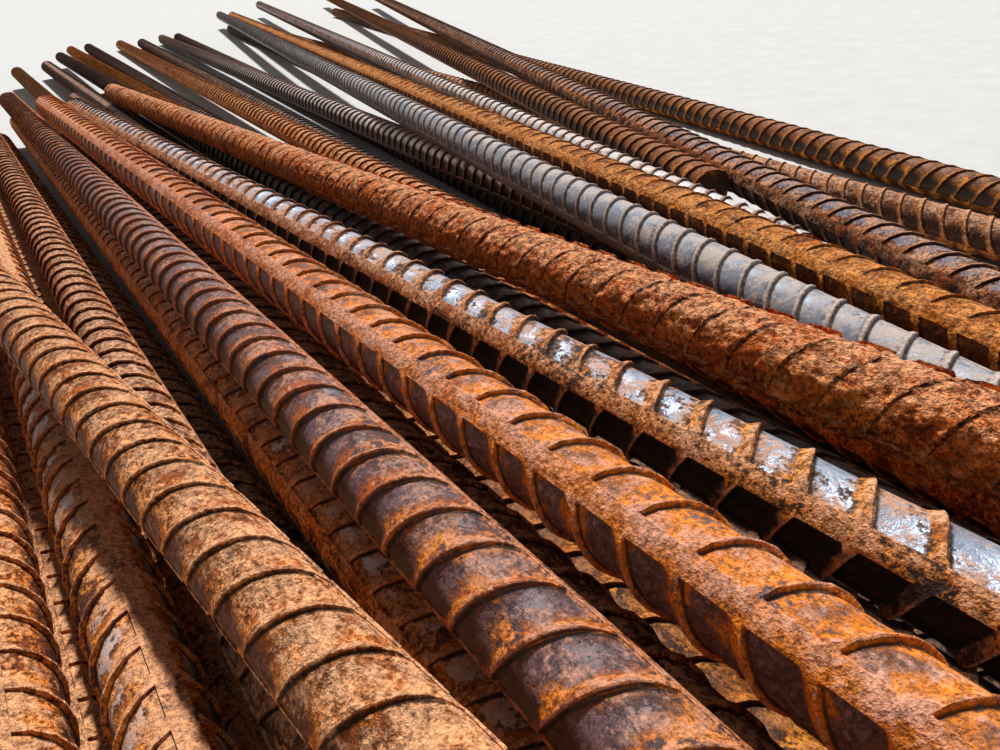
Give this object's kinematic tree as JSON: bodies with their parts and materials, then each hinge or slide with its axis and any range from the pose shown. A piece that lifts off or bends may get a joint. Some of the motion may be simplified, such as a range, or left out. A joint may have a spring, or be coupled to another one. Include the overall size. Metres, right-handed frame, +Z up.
{
  "type": "rebar bundle",
  "caption": "Loose fanned stack of straight rusty ribbed reinforcing bars lying on the ground, far ends staggered and spread apart.",
  "frame": {"origin": "middle of the stack's footprint, on the ground", "axes": "+X along the bars, from the spread far ends towards the gathered near ends; +Z up"},
  "size_m": [5.1914, 1.735, 0.1612],
  "materials": {
    "dusty_rust": "dusty tan rust",
    "orange_rust": "orange rust with purple-grey scale",
    "dark_rust": "dark brown rust",
    "crusted_rust": "thick flaking crust of rust",
    "scaled_rust": "purple-brown scale with orange rust",
    "mill_scale": "grey mill scale with tan specks",
    "bare_scale": "bare pale metal between rusted ribs"
  },
  "bodies": {
    "root": {"ground_bar_1": "dusty_rust", "ground_bar_10": "dark_rust", "ground_bar_11": "dark_rust", "ground_bar_12": "dusty_rust", "ground_bar_13": "dark_rust", "ground_bar_2": "dusty_rust", "ground_bar_3": "orange_rust", "ground_bar_4": "dusty_rust", "ground_bar_5": "dark_rust", "ground_bar_6": "dark_rust", "ground_bar_7": "dark_rust", "ground_bar_8": "dark_rust", "ground_bar_9": "dark_rust", "second_bar_1": "dusty_rust", "second_bar_10": "bare_scale", "second_bar_11": "dark_rust", "second_bar_12": "scaled_rust", "second_bar_2": "dusty_rust", "second_bar_3": "dark_rust", "second_bar_4": "orange_rust", "second_bar_5": "orange_rust", "second_bar_6": "dusty_rust", "second_bar_7": "orange_rust", "second_bar_8": "dusty_rust", "second_bar_9": "bare_scale", "third_bar_1": "dark_rust", "third_bar_2": "dark_rust", "third_bar_3": "orange_rust", "third_bar_4": "crusted_rust", "third_bar_5": "mill_scale", "top_bar_1": "scaled_rust", "top_bar_2": "orange_rust", "top_bar_3": "bare_scale", "top_bar_4": "crusted_rust", "top_bar_5": "dusty_rust"}
  },
  "joints": []
}
